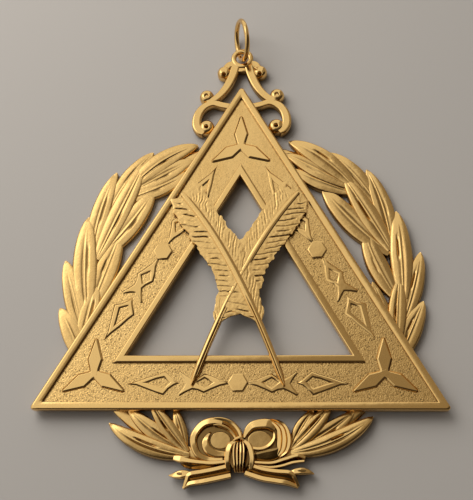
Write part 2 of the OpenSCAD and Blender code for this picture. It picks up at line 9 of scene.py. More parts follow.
import bmesh
import bpy
import numpy as np
from mathutils import Euler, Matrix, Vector


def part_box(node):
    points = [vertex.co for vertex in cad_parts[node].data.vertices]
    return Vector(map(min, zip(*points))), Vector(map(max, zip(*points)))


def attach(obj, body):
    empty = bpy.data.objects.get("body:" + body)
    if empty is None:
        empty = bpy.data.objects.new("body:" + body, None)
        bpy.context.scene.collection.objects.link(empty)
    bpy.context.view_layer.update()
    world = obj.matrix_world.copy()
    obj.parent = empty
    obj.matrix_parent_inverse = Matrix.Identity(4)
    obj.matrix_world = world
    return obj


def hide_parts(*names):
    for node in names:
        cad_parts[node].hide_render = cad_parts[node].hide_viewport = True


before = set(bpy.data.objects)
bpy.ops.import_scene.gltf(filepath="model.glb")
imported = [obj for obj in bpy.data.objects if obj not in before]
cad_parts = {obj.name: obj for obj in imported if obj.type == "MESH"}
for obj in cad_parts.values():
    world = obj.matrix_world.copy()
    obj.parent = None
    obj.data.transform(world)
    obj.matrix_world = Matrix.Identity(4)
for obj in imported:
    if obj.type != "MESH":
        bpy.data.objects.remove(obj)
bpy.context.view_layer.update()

MM = 0.001

# Sizes that the part's source also names
SIDE = 85.0
BAR_W = 11.2
FRAME_T = 2.2
RELIEF = 0.9
OUTER_BORDER_W = 1.55
INNER_BORDER_W = 1.5
STAR_INSET = 15.0
PETAL_L = 7.4
HEXAGON_W = 4.2
VANE_W = 4.4
VANE_T = 0.55
SHAFT_W = 1.1
SHAFT_T = 1.2
BAND_T = 0.9
BAND_W = 2.6
LEAF_T = 2.1
LEAF_EDGE_T = 0.75
LEAF_W = 5.6
BOW_T = 2.0
EYE_RISE = 7.4
CREST_W = 21.5
CREST_T = 2.0
CREST_LAP = 0.4
EYE_HOLE_D = 2.7
EYE_D = 5.1
EYE_T = 1.0
STROKE_W = 1.4
TONGUE_CLEARANCE = 0.6
TONGUE_SETBACK = 1.5
FIT_GAP = 0.05

CORNER_R = SIDE / math.sqrt(3)
EDGE_R = CORNER_R / 2
BAR_MID_R = EDGE_R - BAR_W / 2
BAND_R = CORNER_R - STAR_INSET
FRAME_Z = BAND_T + FIT_GAP
FACE_Z = FRAME_Z + FRAME_T
GROUND_Z = FACE_Z - RELIEF
QUILL_Z = FACE_Z + FIT_GAP
CREST_Z = BAND_T - CREST_LAP
EYE_Z = FRAME_Z + FRAME_T / 2
EYE_Y = CORNER_R + EYE_RISE

# The shared frame's origin, seen from the middle of the triangle
MIDDLE_Y = -EDGE_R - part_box("triangle_frame")[0].y / MM


def add_object(name, data):
    """A new object in the scene."""
    thing = bpy.data.objects.new(name, data)
    bpy.context.scene.collection.objects.link(thing)
    return thing


# Camera

# The photograph's view: turns about X, Y and Z in degrees, and where the middle of the
# jewel's face lies as the camera sees it, in millimetres
VIEW_TURNS = (-20.11, -3.77, 0.56)
VIEW_SHIFT = (0.5, -8.8, -196.8)
FOCAL_PIXELS = 945.0
TALL_PIXELS = 500.0
SENSOR_W = 36.0


def add_camera():
    """The photograph's view, fitted to the triangle's corners and borders."""
    view = Euler([math.radians(turn) for turn in VIEW_TURNS], "XYZ").to_matrix().transposed()
    data = bpy.data.cameras.new("camera")
    data.sensor_width = SENSOR_W
    data.lens = FOCAL_PIXELS * SENSOR_W / TALL_PIXELS
    data.clip_start = 0.01
    camera = add_object("camera", data)
    camera.location = (Vector((0, -MIDDLE_Y, FACE_Z)) - view @ Vector(VIEW_SHIFT)) * MM
    camera.rotation_euler = view.to_euler("XYZ")
    bpy.context.scene.camera = camera


add_camera()


# Shapes

# Painted shade at the foot of a raised form, and on its walls
FOOT_SHADE = 0.8
WALL_SHADE = 0.9


def unit(v):
    """The same directions, with length 1."""
    v = np.asarray(v, float)
    return v / np.linalg.norm(v, axis=-1, keepdims=True)


def left_of(v):
    """Directions turned to the left by a right angle."""
    return np.stack([-v[..., 1], v[..., 0]], -1)


def aim(angle):
    """The direction at an angle in degrees."""
    return np.array([math.cos(math.radians(angle)), math.sin(math.radians(angle))])


def circle(count):
    """Angles evenly round a circle."""
    return np.linspace(0, 2 * np.pi, count + 1)[:-1]


def ease(x):
    """A soft step from 0 to 1, while x goes from 0 to 1."""
    x = np.clip(x, 0.0, 1.0)
    return x * x * (3 - 2 * x)


def curve(a, b, c, t):
    """Points of a quadratic curve from a to c, pulled towards b, and its directions there."""
    a, b, c = (np.asarray(p, float) for p in (a, b, c))
    t = np.asarray(t, float)[:, None]
    points = (1 - t) ** 2 * a + 2 * t * (1 - t) * b + t * t * c
    return points, unit(2 * (1 - t) * (b - a) + 2 * t * (c - b))


def smooth(rows, steps):
    """A smooth line through rows of numbers, in every column alike."""
    rows = np.asarray(rows, float)
    out = []
    for i in range(len(rows) - 1):
        a, b = rows[max(i - 1, 0)], rows[i]
        c, d = rows[i + 1], rows[min(i + 2, len(rows) - 1)]
        for t in np.arange(steps) / steps:
            out.append(0.5 * (2 * b + (c - a) * t + (2 * a - 5 * b + 4 * c - d) * t * t
                              + (3 * b - a - 3 * c + d) * t ** 3))
    out.append(rows[-1])
    return np.array(out)


def column(rows, at, value=1):
    """A column of a table of stations, read off a smooth line through it."""
    line = smooth(rows, 12)
    return np.interp(at, line[:, 0], line[:, value])


class Noise:
    """Soft random hills of a given spacing, the same at each run."""

    def __init__(self, seed, size=64):
        self.table = np.random.RandomState(seed).rand(size, size) * 2 - 1
        self.size = size

    def __call__(self, x, y, cell):
        x, y = np.asarray(x) / cell, np.asarray(y) / cell
        i, j = np.floor(x).astype(int), np.floor(y).astype(int)
        u, v = ease(x - i), ease(y - j)

        def at(a, b):
            return self.table[a % self.size, b % self.size]

        low = at(i, j) * (1 - u) + at(i + 1, j) * u
        high = at(i, j + 1) * (1 - u) + at(i + 1, j + 1) * u
        return low * (1 - v) + high * v


def grid_faces(rows, columns, closed_rows=False, closed_columns=True):
    """Faces between rows of points, which may close into loops either way."""
    i, j = np.meshgrid(np.arange(rows if closed_rows else rows - 1),
                       np.arange(columns if closed_columns else columns - 1), indexing="ij")
    k, m = (i + 1) % rows, (j + 1) % columns
    faces = np.stack([i * columns + j, k * columns + j, k * columns + m, i * columns + m], -1)
    return faces.reshape(-1, 4).tolist()


class Shape:
    """Closed forms gathered for one mesh. Each point's painted shade goes from 0, proud, to 1,
    sunk.
    """

    def __init__(self):
        self.points, self.depths, self.faces, self.count = [], [], [], 0

    def add(self, points, faces, depths=None):
        points = np.asarray(points, float).reshape(-1, 3)
        self.points.append(points)
        self.depths.append(np.zeros(len(points)) if depths is None
                           else np.asarray(depths, float).reshape(-1))
        self.faces += [[i + self.count for i in f] for f in faces]
        self.count += len(points)

    def tube(self, rings, depths=None, closed=False):
        """A form through rings of points, rows by points by 3, with flat ends or a loop."""
        rows, columns = rings.shape[:2]
        faces = grid_faces(rows, columns, closed_rows=closed)
        if not closed:
            end = rows * columns
            faces += [list(range(columns)), list(range(end - columns, end))[::-1]]
        self.add(rings, faces, depths)

    def strip(self, xy, z, floor, depths):
        """A raised strip: rows of points across it, closed below by a flat foot."""
        top = np.concatenate([xy, np.broadcast_to(z, xy.shape[:2])[..., None]], -1)
        floor = np.broadcast_to(np.reshape(floor, -1), len(xy))
        ends = top[[0, -1]].copy()
        ends[..., 2] = floor[[0, -1], None]
        top = np.concatenate([ends[:1], top, ends[1:]])
        floor = np.concatenate([floor[:1], floor, floor[-1:]])
        foot = top[:, [-1, 0]].copy()
        foot[..., 2] = floor[:, None]
        depths = np.broadcast_to(depths, xy.shape[:2])
        depths = np.concatenate([depths[:1], depths, depths[-1:]])
        depths = np.concatenate([depths, np.full((len(top), 2), FOOT_SHADE)], 1)
        self.tube(np.concatenate([top, foot], 1), depths)

    def sheet(self, xy, z, floor, depths):
        """A raised sheet with an even floor that follows its outline, notches too."""
        rows, columns = xy.shape[:2]
        top = np.concatenate([xy, z[..., None]], -1).reshape(-1, 3)
        foot = top.copy()
        foot[:, 2] = floor
        under = rows * columns
        grid = np.arange(under).reshape(rows, columns)
        rim = np.concatenate([grid[:, 0], grid[-1, 1:], grid[-2::-1, -1], grid[0, -2:0:-1]])
        skin = grid_faces(rows, columns, closed_columns=False)
        faces = skin + [[i + under for i in f[::-1]] for f in skin]
        faces += [[a, b, b + under, a + under] for a, b in zip(np.roll(rim, 1), rim)]
        self.add(np.concatenate([top, foot]), faces,
                 np.concatenate([depths.ravel(), np.full(under, FOOT_SHADE)]))

    def strand(self, rows, floor, edge, power, dark):
        """A rounded strand along rows of x, y, half width and height. A higher power makes
        its back flatter, and dark is the painted shade at its edges."""
        line = smooth(rows, 8)
        ways = unit(np.gradient(line[:, :2], axis=0))
        v = np.linspace(-1, 1, 17)
        arch = np.clip(1 - np.abs(0.98 * v) ** power, 0, 1) ** (1 / power)
        xy = beside(line[:, :2], ways, v * line[:, 2:3])
        z = edge + (line[:, 3:4] - edge) * arch
        self.strip(xy, z, floor, dark * (1 - arch) ** 2)

    def disc(self, centre, radii, floor, top, depth):
        """A low flat disc with a bevel, and depth as its painted shade."""
        angle = circle(72)
        rings = [np.column_stack([centre[0] + radii[0] * share * np.cos(angle),
                                  centre[1] + radii[1] * share * np.sin(angle),
                                  np.full(len(angle), z)])
                 for share, z in ((1.0, floor), (1.0, top - 0.12), (0.96, top - 0.02), (0.92, top),
                                  (0.88, top), (0.02, top))]
        self.tube(np.array(rings), np.full((len(rings), len(angle)), depth))

    def hoop(self, centre, radius, section, count):
        """A closed ring. Its section is rows of a step out from its radius and a height."""
        angle = circle(count)[:, None]
        step, z = np.array(section).T
        x, y = (radius + step) * np.cos(angle), (radius + step) * np.sin(angle)
        z = np.broadcast_to(z, x.shape)
        self.tube(np.stack([centre[0] + x, centre[1] + y, z], -1), closed=True)


def beside(centres, ways, across):
    """Points beside a line: across is how far each lies to the left of it."""
    return centres[:, None, :] + left_of(ways)[:, None, :] * across[..., None]


def add_piece(name, shape, nodes, material, body="jewel", sharp=40):
    """Puts a shape into the shared frame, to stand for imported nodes. Edges past the sharp
    angle in degrees aren't shaded smooth."""
    mesh = bpy.data.meshes.new(name)
    points = np.concatenate(shape.points)
    points = (points - np.array([0, MIDDLE_Y, 0])) * MM
    mesh.from_pydata(points.tolist(), [], shape.faces)
    work = bmesh.new()
    work.from_mesh(mesh)
    bmesh.ops.recalc_face_normals(work, faces=work.faces)
    work.to_mesh(mesh)
    work.free()
    depth = mesh.attributes.new("depth", "FLOAT", "POINT")
    depth.data.foreach_set("value", np.concatenate(shape.depths).astype(np.float32))
    mesh.shade_smooth()
    mesh.set_sharp_from_angle(angle=math.radians(sharp))
    mesh.materials.append(material)
    piece = add_object(name, mesh)
    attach(piece, body)
    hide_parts(*nodes)


# Bevels round a raised form: rows of a step inwards and a step up, in millimetres
CRISP = ((0.02, 0.02), (0.16, 0.08), (0.05, 0.01), (0.04, 0.0))
WORN = ((0.02, 0.02), (0.24, 0.15), (0.05, 0.02), (0.04, 0.0))


def add_plateau(shape, loops, foot, top, bevel):
    """A raised flat shape with painted shade on the wall below its bevel. The first loop is
    its outline, others are holes."""
    work = bmesh.new()
    edges = []
    for loop in loops:
        corners = [work.verts.new((x, y, foot)) for x, y in loop]
        edges += [work.edges.new((corners[i], corners[(i + 1) % len(corners)]))
                  for i in range(len(corners))]
    bmesh.ops.triangle_fill(work, edges=edges, use_beauty=True, normal=(0, 0, 1))
    bmesh.ops.recalc_face_normals(work, faces=work.faces)
    if sum(f.normal.z for f in work.faces) < 0:
        bmesh.ops.reverse_faces(work, faces=work.faces)
    floor = work.faces[:]
    raised = bmesh.ops.extrude_face_region(work, geom=floor, use_keep_orig=True)
    crown = [g for g in raised["geom"] if isinstance(g, bmesh.types.BMFace)]
    wall_top = top - sum(rise for _, rise in bevel)
    for vert in {v for face in crown for v in face.verts}:
        vert.co.z = wall_top
    for step, rise in bevel:
        bmesh.ops.inset_region(work, faces=crown, thickness=step, depth=rise,
                               use_even_offset=True, use_boundary=True)
    bmesh.ops.recalc_face_normals(work, faces=work.faces)
    work.verts.index_update()
    depths = [WALL_SHADE * (v.co.z < wall_top + 0.001) for v in work.verts]
    faces = [[v.index for v in f.verts] for f in work.faces]
    shape.add([v.co[:] for v in work.verts], faces, depths)
    work.free()


# Materials

def add_node(tree, kind, inputs, **settings):
    """A shader node. An output given for an input is linked to it, and a value is set."""
    node = tree.nodes.new("ShaderNode" + kind)
    for key, value in settings.items():
        setattr(node, key, value)
    for key, value in inputs.items():
        if isinstance(value, bpy.types.NodeSocket):
            tree.links.new(value, node.inputs[key])
        else:
            node.inputs[key].default_value = value
    return node


def mixed(tree, share, first, second):
    """A mix of two colours, by a share from 0 to 1."""
    inputs = {0: share}
    for socket, colour in ((6, first), (7, second)):
        inputs[socket] = (*colour, 1) if isinstance(colour, tuple) else colour
    return add_node(tree, "Mix", inputs, data_type="RGBA").outputs[2]


def spanned(tree, value, low, high, to_low=0.0, to_high=1.0, way="LINEAR"):
    """A value's range from low to high, mapped to another range."""
    inputs = {"Value": value, "From Min": low, "From Max": high,
              "To Min": to_low, "To Max": to_high}
    return add_node(tree, "MapRange", inputs, interpolation_type=way).outputs["Result"]


# Dark brown that the metal is mixed towards, as painted shade
SHADE_COLOUR = (0.20, 0.115, 0.035)
# What is left of each channel of the metal's colour in its dullest patches
DULLED = (0.93, 0.88, 0.78)
# Scales of patches, handling marks and clusters of pits, in waves to the metre
PATCH_SCALE = 160.0
MARK_SCALE = 420.0
CLUSTER_SCALE = 700.0
# Distance between pits, in millimetres
PIT_CELL = 0.54
# Share of pits and grain that is left at the upper Y of calm
CALM_SHARE = 0.15


def add_gilt(name, colour, rough, grain=0.0, grain_cell=0.3, dents=0.02, pits=0.0, calm=None):
    """Gilding: bright metal with painted shade where it is sunk, and handling marks. Grain
    and dents are heights, pits is how dark its pits are painted, and grain and pits fade
    out between the two Y of calm."""
    material = bpy.data.materials.new(name)
    material.use_nodes = True
    tree = material.node_tree
    tree.nodes.clear()
    place = add_node(tree, "TexCoord", {}).outputs["Object"]

    def waves(scale, detail):
        inputs = {"Vector": place, "Scale": scale, "Detail": detail}
        return add_node(tree, "TexNoise", inputs).outputs["Fac"]

    # Painted shade: the depth attribute darkens the metal in hollows, grooves, pits, feet and
    # walls
    depth = add_node(tree, "Attribute", {}, attribute_name="depth").outputs["Fac"]
    patches = waves(PATCH_SCALE, 3.0)
    fade = 1.0
    if calm:
        parts = add_node(tree, "SeparateXYZ", {"Vector": place})
        fade = spanned(tree, parts.outputs["Y"], calm[0] * MM, calm[1] * MM, 1.0, CALM_SHARE)
    # Painted shade: dark pits in clusters, fewer towards the upper Y of calm
    if pits:
        specks = add_node(tree, "TexVoronoi", {"Vector": place, "Scale": 1.0 / (PIT_CELL * MM)})
        pit = spanned(tree, specks.outputs["Distance"], 0.20, 0.38, pits, 0.0)
        dense = spanned(tree, waves(CLUSTER_SCALE, 2.0), 0.42, 0.50, 0.0, fade)
        pit = add_node(tree, "Math", {0: pit, 1: dense}, operation="MULTIPLY").outputs["Value"]
        depth = add_node(tree, "Math", {0: depth, 1: pit}, operation="MAXIMUM").outputs["Value"]

    dulled = tuple(channel * left for channel, left in zip(colour, DULLED))
    tint = mixed(tree, patches, colour, dulled)
    dull = spanned(tree, patches, 0.3, 0.7, rough * 0.8, rough * 1.3)
    bump = add_node(tree, "Bump", {"Height": waves(MARK_SCALE, 2.0), "Strength": 1.0,
                                   "Distance": dents * MM})
    if grain:
        sand = waves(1.0 / (grain_cell * MM), 1.0)
        bump = add_node(tree, "Bump", {"Height": sand, "Strength": fade, "Distance": grain * MM,
                                       "Normal": bump.outputs["Normal"]})
    metal = add_node(tree, "BsdfPrincipled", {"Base Color": mixed(tree, depth, tint, SHADE_COLOUR),
                                              "Metallic": 1.0, "Roughness": dull,
                                              "Normal": bump.outputs["Normal"]})
    add_node(tree, "OutputMaterial", {"Surface": metal.outputs["BSDF"]})
    return material


GOLD = (0.87, 0.575, 0.222)
polished = add_gilt("gilt_polished", GOLD, 0.13)
struck = add_gilt("gilt_struck", GOLD, 0.22, grain=0.006, grain_cell=0.5, dents=0.03)
satin = add_gilt("gilt_satin", GOLD, 0.22, grain=0.008, grain_cell=0.4, dents=0.05)
pebbled = add_gilt("gilt_pebbled", GOLD, 0.20, grain=0.05, grain_cell=0.23, pits=0.75,
                    calm=(-8.0, 20.0))
filed = add_gilt("gilt_filed", (0.70, 0.50, 0.22), 0.45, grain=0.02)


# Triangle frame

def triangle_rings(sections, samples):
    """Rings round the triangle. Sections are distance to the edges, height, corner radius."""
    share = np.arange(samples) / samples
    rings = []
    for r, z, rounding in sections:
        ring = []
        for k in range(3):
            here, there = 2 * r * aim(120 * k + 90), 2 * r * aim(120 * k + 210)
            out = aim(120 * k + 150)
            way = unit(there - here)
            points = here + np.outer(share * np.linalg.norm(there - here), way)
            if rounding:
                reach = rounding * math.sqrt(3)
                for end, sign in ((here, 1), (there, -1)):
                    along = np.abs((points - end) @ way)
                    near = along < reach
                    middle = end + sign * way * reach - out * rounding
                    phi = np.radians(60) * (1 - along[near] / reach)
                    points[near] = (middle + rounding * (np.outer(np.cos(phi), out)
                                    - sign * np.outer(np.sin(phi), way)))
            ring.append(points)
        ring = np.concatenate(ring)
        rings.append(np.column_stack([ring, np.full(len(ring), z)]))
    return np.array(rings)


# Corner radius of the outer border
ROUNDING = 0.55
# Borders, from the back over the face and down to the ground: step from an edge towards
# the window, height, and share of the rounding
OUTER_EDGE = [(0.12, FRAME_Z, 1), (0, FRAME_Z + 0.12, 1), (0, FRAME_Z + 0.20, 1),
              (0, FACE_Z - 0.42, 1), (0.02, FACE_Z - 0.28, 1), (0.10, FACE_Z - 0.12, 1),
              (0.24, FACE_Z - 0.03, 0.8), (0.40, FACE_Z, 0.6), (0.46, FACE_Z, 0.6)]
OUTER_FALL = [(-0.11, FACE_Z), (-0.08, FACE_Z - 0.01), (0.01, FACE_Z - 0.06),
              (0.03, FACE_Z - 0.10), (0.04, FACE_Z - 0.18), (0.05, GROUND_Z - 0.05),
              (0.05, FRAME_Z)]
INNER_EDGE = [(-0.12, FRAME_Z), (0, FRAME_Z + 0.12), (0, FRAME_Z + 0.20), (0, FACE_Z - 0.38),
              (-0.03, FACE_Z - 0.18), (-0.11, FACE_Z - 0.05), (-0.24, FACE_Z), (-0.30, FACE_Z)]
INNER_FALL = [(0.31, FACE_Z), (0.25, FACE_Z - 0.01), (0.05, FACE_Z - 0.12),
              (0, FACE_Z - 0.17), (-0.01, FACE_Z - 0.22), (-0.05, GROUND_Z - 0.05),
              (-0.05, FRAME_Z)]
# Rise over the part's own ground, and how far the ground reaches under the borders
GROUND_LIFT = 0.18
GROUND_LAP = 0.15
# Height of pebbles and of grit, and their spacings
PEBBLE_H = 0.007
PEBBLE_CELL = 0.42
GRIT_CELL = 0.23


def build_frame():
    """The raised borders and the sunk ground between them."""
    outer, inner = EDGE_R, EDGE_R - BAR_W
    sunk_out, sunk_in = outer - OUTER_BORDER_W, inner + INNER_BORDER_W
    outer_rail = [(outer - step, z, ROUNDING * share) for step, z, share in OUTER_EDGE]
    outer_rail += [(sunk_out - step, z, 0) for step, z in OUTER_FALL]
    inner_rail = [(inner - step, z, 0) for step, z in INNER_EDGE]
    inner_rail += [(sunk_in - step, z, 0) for step, z in INNER_FALL]
    rails = Shape()
    # The last three rows of a rail are its wall down to the ground, painted with shade
    for sections in (outer_rail, inner_rail):
        rings = triangle_rings(sections, 120)
        depths = np.zeros(rings.shape[:2])
        depths[-3:] = WALL_SHADE
        rails.tube(rings, depths, closed=True)
    add_piece("frame_borders", rails, ["triangle_frame"], polished, sharp=50)

    ground_rows = 46
    reaches = np.linspace(sunk_out + GROUND_LAP, sunk_in - GROUND_LAP, ground_rows)
    under = FRAME_Z + 0.02
    sections = [(r, GROUND_Z + GROUND_LIFT, 0) for r in reaches]
    rings = triangle_rings([(reaches[0], under, 0)] + sections + [(reaches[-1], under, 0)], 400)
    sand, grit = Noise(12, 256), Noise(13, 256)
    ground = rings[1:-1]
    x, y = ground[..., 0], ground[..., 1]
    pebbles = sand(x, y, PEBBLE_CELL)
    ground[..., 2] += PEBBLE_H * pebbles + PEBBLE_H * grit(x, y, GRIT_CELL)
    edge = np.minimum(reaches - sunk_in, sunk_out - reaches)[:, None]
    depths = np.zeros(rings.shape[:2])
    # Painted shade in the pebbles' hollows, and a painted contact shadow at the borders' feet
    depths[1:-1] = 0.10 * np.clip(-pebbles, 0, 1) + 0.35 * np.exp(-(edge / 0.12) ** 2)
    ground_plate = Shape()
    ground_plate.tube(rings, depths, closed=True)
    add_piece("frame_ground", ground_plate, ["triangle_frame"], pebbled, sharp=50)


def turned(points, angle):
    """Points in the plan, turned about its middle by an angle in degrees."""
    c, s = math.cos(math.radians(angle)), math.sin(math.radians(angle))
    points = np.asarray(points, float)
    return np.column_stack([points[:, 0] * c - points[:, 1] * s,
                            points[:, 0] * s + points[:, 1] * c])


# Flat top of a star's petal: share of its length, and half its width in millimetres
PETAL_TOP = [[-0.09, 0.50], [0.12, 0.60], [0.42, 1.20], [1.00, 0.00]]
# Flank of a star: distance from the flat top's edge, share of the height lost, and painted shade
PETAL_FLANK = [[0.00, 0.00, 0.0], [0.04, 0.01, 0.0], [0.10, 0.07, 0.0], [0.42, 0.48, 0.0],
               [0.45, 0.60, 0.9], [0.48, 1.30, 0.9]]
# Strapwork beside the hexagon of the lower bar, and its sunk hearts
LOZENGE = [(11.9, -19.0), (13.0, -18.3), (14.9, -16.6), (16.4, -17.2), (18.5, -17.8),
           (20.6, -18.6), (22.7, -19.2), (20.6, -19.5), (18.5, -20.3), (16.6, -21.0),
           (15.1, -21.5), (14.1, -20.3), (13.0, -19.5)]
LOZENGE_HEART = [(13.9, -18.85), (15.1, -17.85), (16.6, -18.2), (18.6, -18.95), (16.8, -19.5),
                 (15.2, -20.05)]
OVAL = [(1.8, -18.75), (3.6, -18.35), (5.2, -17.6), (6.8, -17.05), (8.2, -17.95),
        (9.2, -18.3), (10.4, -17.6), (11.8, -16.55), (12.1, -17.0), (11.3, -18.1),
        (10.7, -19.1), (11.3, -20.1), (12.2, -21.2), (11.9, -21.7), (10.5, -20.9),
        (9.2, -20.3), (8.1, -20.5), (6.9, -21.05), (5.3, -20.3), (3.6, -19.6), (1.8, -19.2)]
OVAL_HEART = [(5.2, -18.9), (6.8, -18.05), (8.2, -18.85), (6.8, -19.95)]
STAR_H = RELIEF * 0.62
HEXAGON_H = RELIEF * 0.75
STRAP_H = RELIEF * 0.5
# How far a star or a hexagon reaches below the part's ground, and the strapwork
DEEP_ROOT = 0.3
STRAP_ROOT = 0.1
# Step in height between a star's petals, which keeps their flat tops apart
PETAL_STEP = 0.004


def build_petal(shape, place, angle, lift):
    """A petal of a star, which points from its place at an angle in degrees."""
    length = PETAL_L * 0.95
    beyond = np.array([row[0] for row in PETAL_FLANK[1:]])
    along = np.concatenate([length * np.linspace(PETAL_TOP[0][0], 1, 48), length + beyond])
    half = np.interp(along / length, *np.array(PETAL_TOP).T)
    reach, lost, sunk = np.array(PETAL_FLANK).T
    inside = np.array([-0.96, -0.5, 0.0, 0.5, 0.96]) * half[:, None]
    across = np.concatenate([-half[:, None] - reach[::-1], inside, half[:, None] + reach], 1)
    away = np.hypot(np.maximum(np.abs(across) - half[:, None], 0),
                    np.maximum(along - length, 0)[:, None])
    z = GROUND_Z + lift + STAR_H * (1 - np.interp(away, reach, lost))
    xy = np.stack([np.repeat(along[:, None], across.shape[1], 1), across], -1)
    xy = turned(xy.reshape(-1, 2), angle).reshape(xy.shape) + place
    shape.strip(xy, z, GROUND_Z - DEEP_ROOT, np.interp(away, reach, sunk))


def build_ornaments():
    """The star, the hexagon and the strapwork of each bar."""
    stars, hexagons, straps = Shape(), Shape(), Shape()
    for k in range(3):
        place = turned([[0, BAND_R]], 120 * k)[0]
        for petal in range(3):
            build_petal(stars, place, 90 + 120 * (petal + k), PETAL_STEP * petal)
        ring = np.array([turned([[HEXAGON_W / 2, 0]], 60 * i)[0] for i in range(6)])
        ring = turned(ring + [0, -BAR_MID_R], 120 * k)
        add_plateau(hexagons, [ring], GROUND_Z - DEEP_ROOT, GROUND_Z + HEXAGON_H, CRISP)
        for hand in (-1, 1):
            for outer, heart in ((LOZENGE, LOZENGE_HEART), (OVAL, OVAL_HEART)):
                loops = [turned(np.array(p) * [hand, 1], 120 * k) for p in (outer, heart)]
                add_plateau(straps, loops, GROUND_Z - STRAP_ROOT, GROUND_Z + STRAP_H, WORN)
    for name, shape in (("frame_stars", stars), ("frame_hexagons", hexagons),
                        ("frame_strapwork", straps)):
        add_piece(name, shape, ["triangle_frame"], polished)


# Crossed quills

# A feather: share of the quill's length, and the widths of its inner and its outer side as
# shares of VANE_W
QUILL_FORM = [[0.00, 0.80, 0.62], [0.03, 1.00, 0.86], [0.14, 0.84, 0.98], [0.30, 0.80, 1.02],
              [0.40, 0.90, 0.96], [0.48, 0.92, 0.94], [0.58, 0.74, 1.20], [0.66, 0.58, 1.10],
              [0.73, 0.38, 0.30], [0.76, 0.13, 0.13]]
# A shaft: share of the quill's length, and its width as a share of the broadest
SHAFT_FORM = [[0.00, 0.50], [0.04, 0.85], [0.24, 1.00], [0.48, 1.00], [0.66, 1.00],
              [0.80, 1.00], [0.925, 0.95], [0.97, 0.80], [1.00, 0.30]]
# Ends of a quill and the point that its line bends towards, as shares of SIDE
FEATHER_END = (-0.148, 0.261)
SHAFT_BEND = (-0.012, 0.109)
NIB_END = (0.110, -0.231)
# Share of the quill's length where its shaft dips to the strapwork
DIP_AT = 0.925
NIB_Z = GROUND_Z + STRAP_H + FIT_GAP
# How far the front quill is lifted over the other, and the other's shaft is lowered
FRONT_LIFT = 0.18
BACK_DROP = 0.12
FEATHER_ROWS = 400
# Depths of the slits between the barbs, on the inner and the outer side
INNER_SLIT = 0.05
OUTER_SLIT = 0.27


def quill_line(t):
    """Points of a quill's middle line and its directions, at shares of its length."""
    points, ways = curve(FEATHER_END, SHAFT_BEND, NIB_END, t)
    return points * SIDE, ways


class Slits:
    """Short grooves between barbs, each with its own start, end and depth. Pitch is their
    distance from each other."""

    COUNT = 64

    def __init__(self, seed, pitch, breadth):
        draw = np.random.RandomState(seed)
        self.start = draw.uniform(0.08, 0.36, self.COUNT)
        self.end = draw.uniform(0.66, 1.25, self.COUNT)
        self.depth = draw.uniform(0.2, 1.0, self.COUNT)
        self.pitch, self.breadth = pitch, breadth

    def __call__(self, level, far):
        phase = level / self.pitch
        i = np.floor(phase).astype(int)
        dip = np.exp(-(((phase - i) - 0.5) * self.pitch / self.breadth) ** 2)
        i = i % self.COUNT
        held = ease((far - self.start[i]) / 0.14) * ease((self.end[i] - far) / 0.14)
        return dip * held * self.depth[i]


def build_feather(shape, mirrored, lift, seed):
    """Both sides of a feather, with notched edges and a ragged end."""
    wobble, rough = Noise(seed), Noise(seed + 1, 128)
    outer_slits, inner_slits = Slits(seed + 2, 1.15, 0.09), Slits(seed + 3, 0.62, 0.12)
    t = np.linspace(0.0, QUILL_FORM[-1][0], FEATHER_ROWS)
    centres, ways = quill_line(t)
    inner = column(QUILL_FORM, t, 1) * VANE_W
    outer = column(QUILL_FORM, t, 2) * VANE_W
    share = np.linspace(1, -1, 57)
    far = np.abs(share)
    width = np.where(share > 0, inner[:, None], outer[:, None])
    notches = 1 + 0.07 * wobble(t * 60, t * 0, 1.0)[:, None] * share ** 2
    across = share * width * notches
    body = ease((t - 0.02) / 0.04)[:, None]

    def grooves(across):
        """Places in the plan, and how deep the outer and the inner slits are there."""
        xy = beside(centres, ways, across)
        x, y = xy[..., 0], xy[..., 1]
        level = (y + 0.14 * x) + 0.22 * wobble(x, y, 2.4) + 0.05 * rough(x, y, 0.6)
        steep = (x - 0.10 * y) + 0.30 * wobble(x, y, 1.3)
        return x, y, outer_slits(level, far) * body, inner_slits(steep, far) * body

    _, _, low, fine = grooves(across)
    reach = np.where(share > 0, 1 - 0.08 * fine[:, :1], 1 - 0.15 * low[:, -1:])
    across = across * reach
    x, y, low, fine = grooves(across)
    on_inner = across > 0
    groove = np.where(on_inner, INNER_SLIT * fine, OUTER_SLIT * low)
    belly = 1.30 - 0.10 * far ** 2.5
    z = QUILL_Z + VANE_T * belly + lift - groove + 0.015 * rough(x, y, 0.5)
    xy = beside(centres, ways, across)
    ragged = 0.9 * ease(1 - t / 0.06)[:, None] * (wobble(across, across * 0, 0.9) - 0.2)
    xy -= ways[:, None, :] * ragged[..., None]
    if mirrored:
        xy[..., 0] *= -1
    # Painted shade in the slits between the barbs, darker on the outer side
    depths = np.clip(np.where(on_inner, 0.10 * fine, 0.95 * low), 0, 1)
    shape.sheet(xy, z, QUILL_Z, depths)


def build_shaft(shape, mirrored, lift):
    """A shaft with a slit along its free part, which dips to the strapwork at its nib."""
    t = np.linspace(0.0, 1.0, 150)
    centres, ways = quill_line(t)
    half = column(SHAFT_FORM, t) * SHAFT_W * 0.66
    dip = (NIB_Z - QUILL_Z) * (t - DIP_AT) / (1 - DIP_AT)
    foot = np.where(t < DIP_AT, QUILL_Z, QUILL_Z + dip)
    lean = np.linspace(-1, 1, 19)
    xy = beside(centres, ways, lean * half[:, None])
    arch = np.clip(1 - (0.98 * np.abs(lean)) ** 2.2, 0, 1) ** (1 / 2.2)
    slit = np.exp(-((lean + 0.30) / 0.16) ** 2) * ease((t - 0.62) / 0.08)[:, None]
    free = ease((t - 0.66) / 0.08)
    edge = foot + (VANE_T * 1.22 + lift) * (1 - free) + SHAFT_T * 0.25 * free
    back = foot + SHAFT_T * 0.86 + lift
    z = edge[:, None] + (back - edge)[:, None] * arch - 0.24 * slit
    if mirrored:
        xy[..., 0] *= -1
    # Painted shade in the slit
    shape.strip(xy, z, foot, 0.85 * slit)


